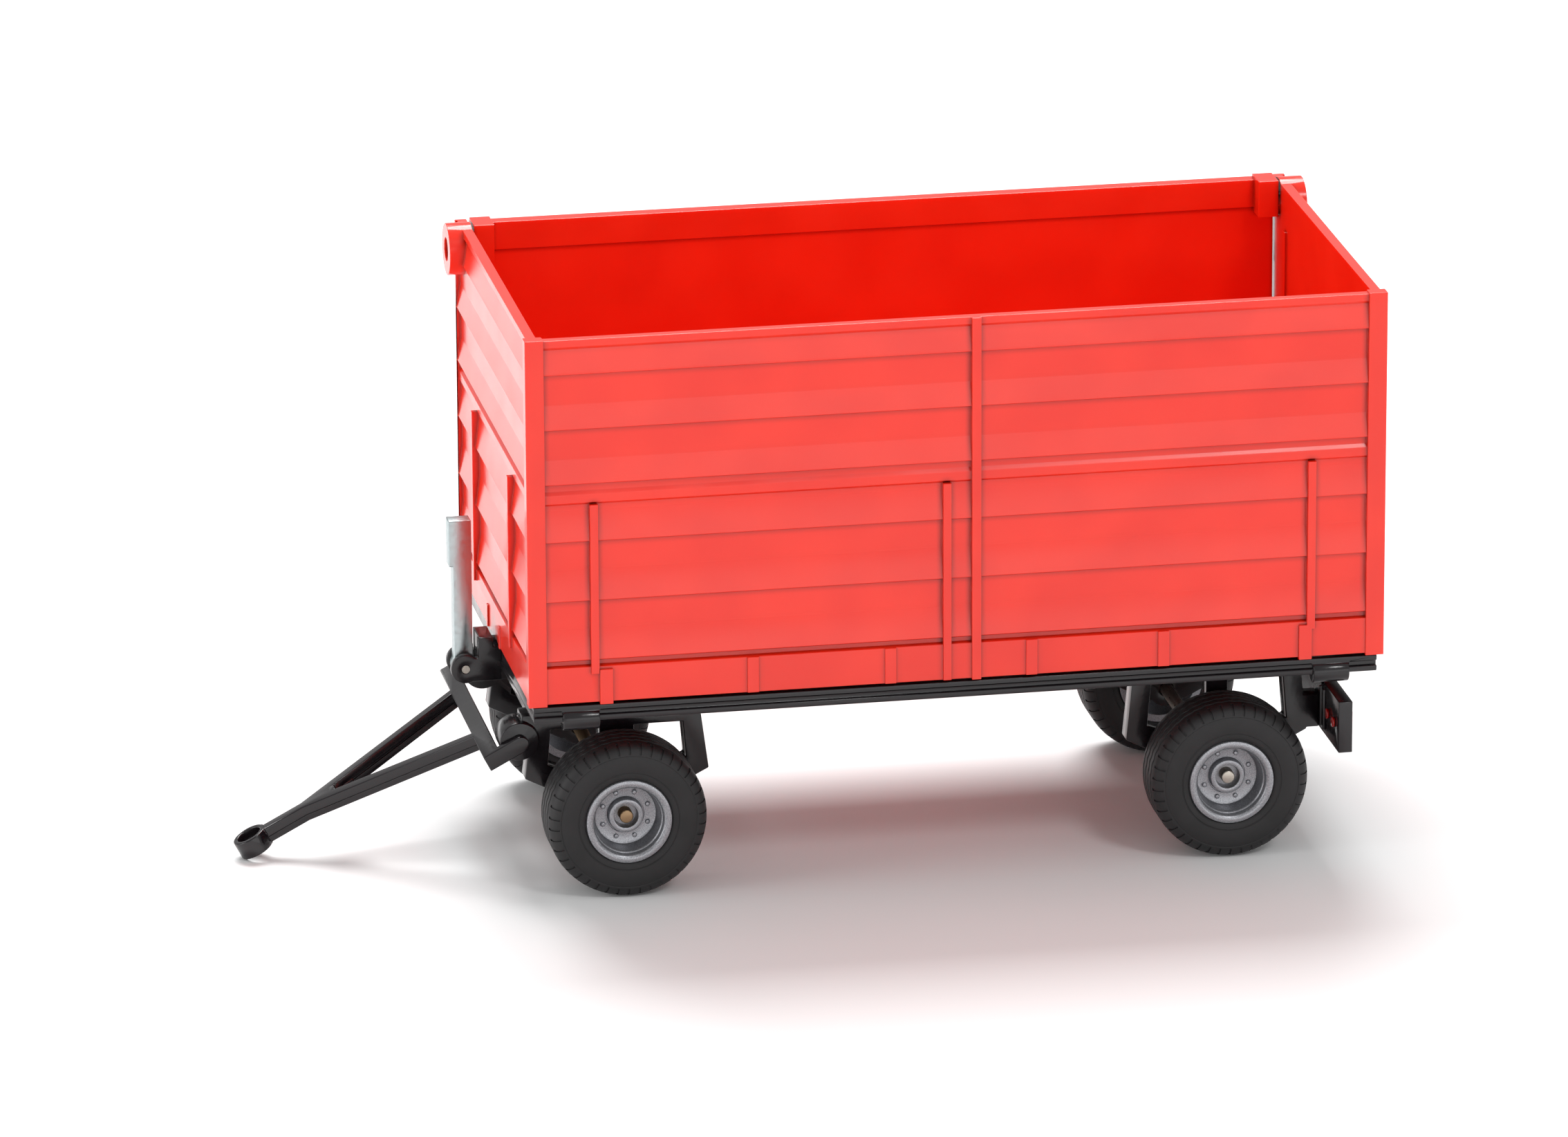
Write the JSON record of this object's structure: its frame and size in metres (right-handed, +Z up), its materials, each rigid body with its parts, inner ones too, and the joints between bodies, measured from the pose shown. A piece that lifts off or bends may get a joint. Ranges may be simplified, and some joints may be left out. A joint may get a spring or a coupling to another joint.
{
  "type": "toy tipping trailer",
  "caption": "Toy two-axle drawbar tipping trailer with high corrugated sides, a top-hung side flap, a steering front bogie and a hand lever.",
  "frame": {"origin": "on the ground under the middle of the trailer, drawbar included", "axes": "-X towards the drawbar eye, +X to the tail, +Y to the side the body tips to and the flap hangs on, +Z up"},
  "size_m": [0.2088, 0.0824, 0.1085],
  "materials": {
    "red_plastic": "glossy moulded polystyrene",
    "black_lacquer": "gloss black lacquer on die-cast zinc",
    "black_plastic": "gloss black moulded plastic",
    "steel": "turned steel",
    "lamp_lens": "clear dark red plastic",
    "silver_rim": "silver lacquer on moulded plastic",
    "tyre": "dull soft rubber",
    "bright_metal": "bright plated metal"
  },
  "bodies": {
    "chassis": {"chassis_frame": "black_lacquer", "hinge_pin_front": "steel", "hinge_pin_rear": "steel", "rear_axle_carrier": "black_lacquer", "carrier_rivets": "steel", "light_board": "black_plastic", "tail_lamp_left": "lamp_lens", "tail_lamp_right": "lamp_lens", "king_pin": "steel", "king_pin_washer": "steel", "lever_bracket": "black_plastic", "lever_pin": "steel"},
    "load_box": {"load_body": "red_plastic"},
    "flap": {"side_flap": "red_plastic"},
    "bogie": {"front_bogie": "black_lacquer"},
    "drawbar": {"drawbar": "black_lacquer"},
    "front_wheels": {"front_axle": "steel", "rim_front_left": "silver_rim", "rim_front_right": "silver_rim", "tyre_front_left": "tyre", "tyre_front_right": "tyre"},
    "rear_wheels": {"rear_axle": "steel", "rim_rear_left": "silver_rim", "rim_rear_right": "silver_rim", "tyre_rear_left": "tyre", "tyre_rear_right": "tyre"},
    "lever": {"hand_lever": "bright_metal"}
  },
  "joints": [
    {"name": "body_tip", "type": "hinge", "parent": "chassis", "child": "load_box", "pos_m": [0.02332, 0.03895, 0.0362], "axis": [-1, 0, 0], "range_deg": [0, 45]},
    {"name": "flap_swing", "type": "hinge", "parent": "load_box", "child": "flap", "pos_m": [0.02332, 0.03615, 0.1036], "axis": [1, 0, 0], "range_deg": [0, 80]},
    {"name": "bogie_steer", "type": "hinge", "parent": "chassis", "child": "bogie", "pos_m": [-0.03668, 0, 0.0319], "axis": [0, 0, 1], "range_deg": [-90, 90]},
    {"name": "drawbar_lift", "type": "hinge", "parent": "bogie", "child": "drawbar", "pos_m": [-0.05478, 0, 0.0273], "axis": [0, 1, 0], "range_deg": [0, 40]},
    {"name": "front_wheel_spin", "type": "hinge", "parent": "bogie", "child": "front_wheels", "pos_m": [-0.03668, 0, 0.0147], "axis": [0, 1, 0], "continuous": true},
    {"name": "rear_wheel_spin", "type": "hinge", "parent": "chassis", "child": "rear_wheels", "pos_m": [0.07532, 0, 0.0147], "axis": [0, 1, 0], "continuous": true},
    {"name": "lever_swing", "type": "hinge", "parent": "chassis", "child": "lever", "pos_m": [-0.06128, 0, 0.0349], "axis": [0, -1, 0], "range_deg": [0, 70]}
  ]
}
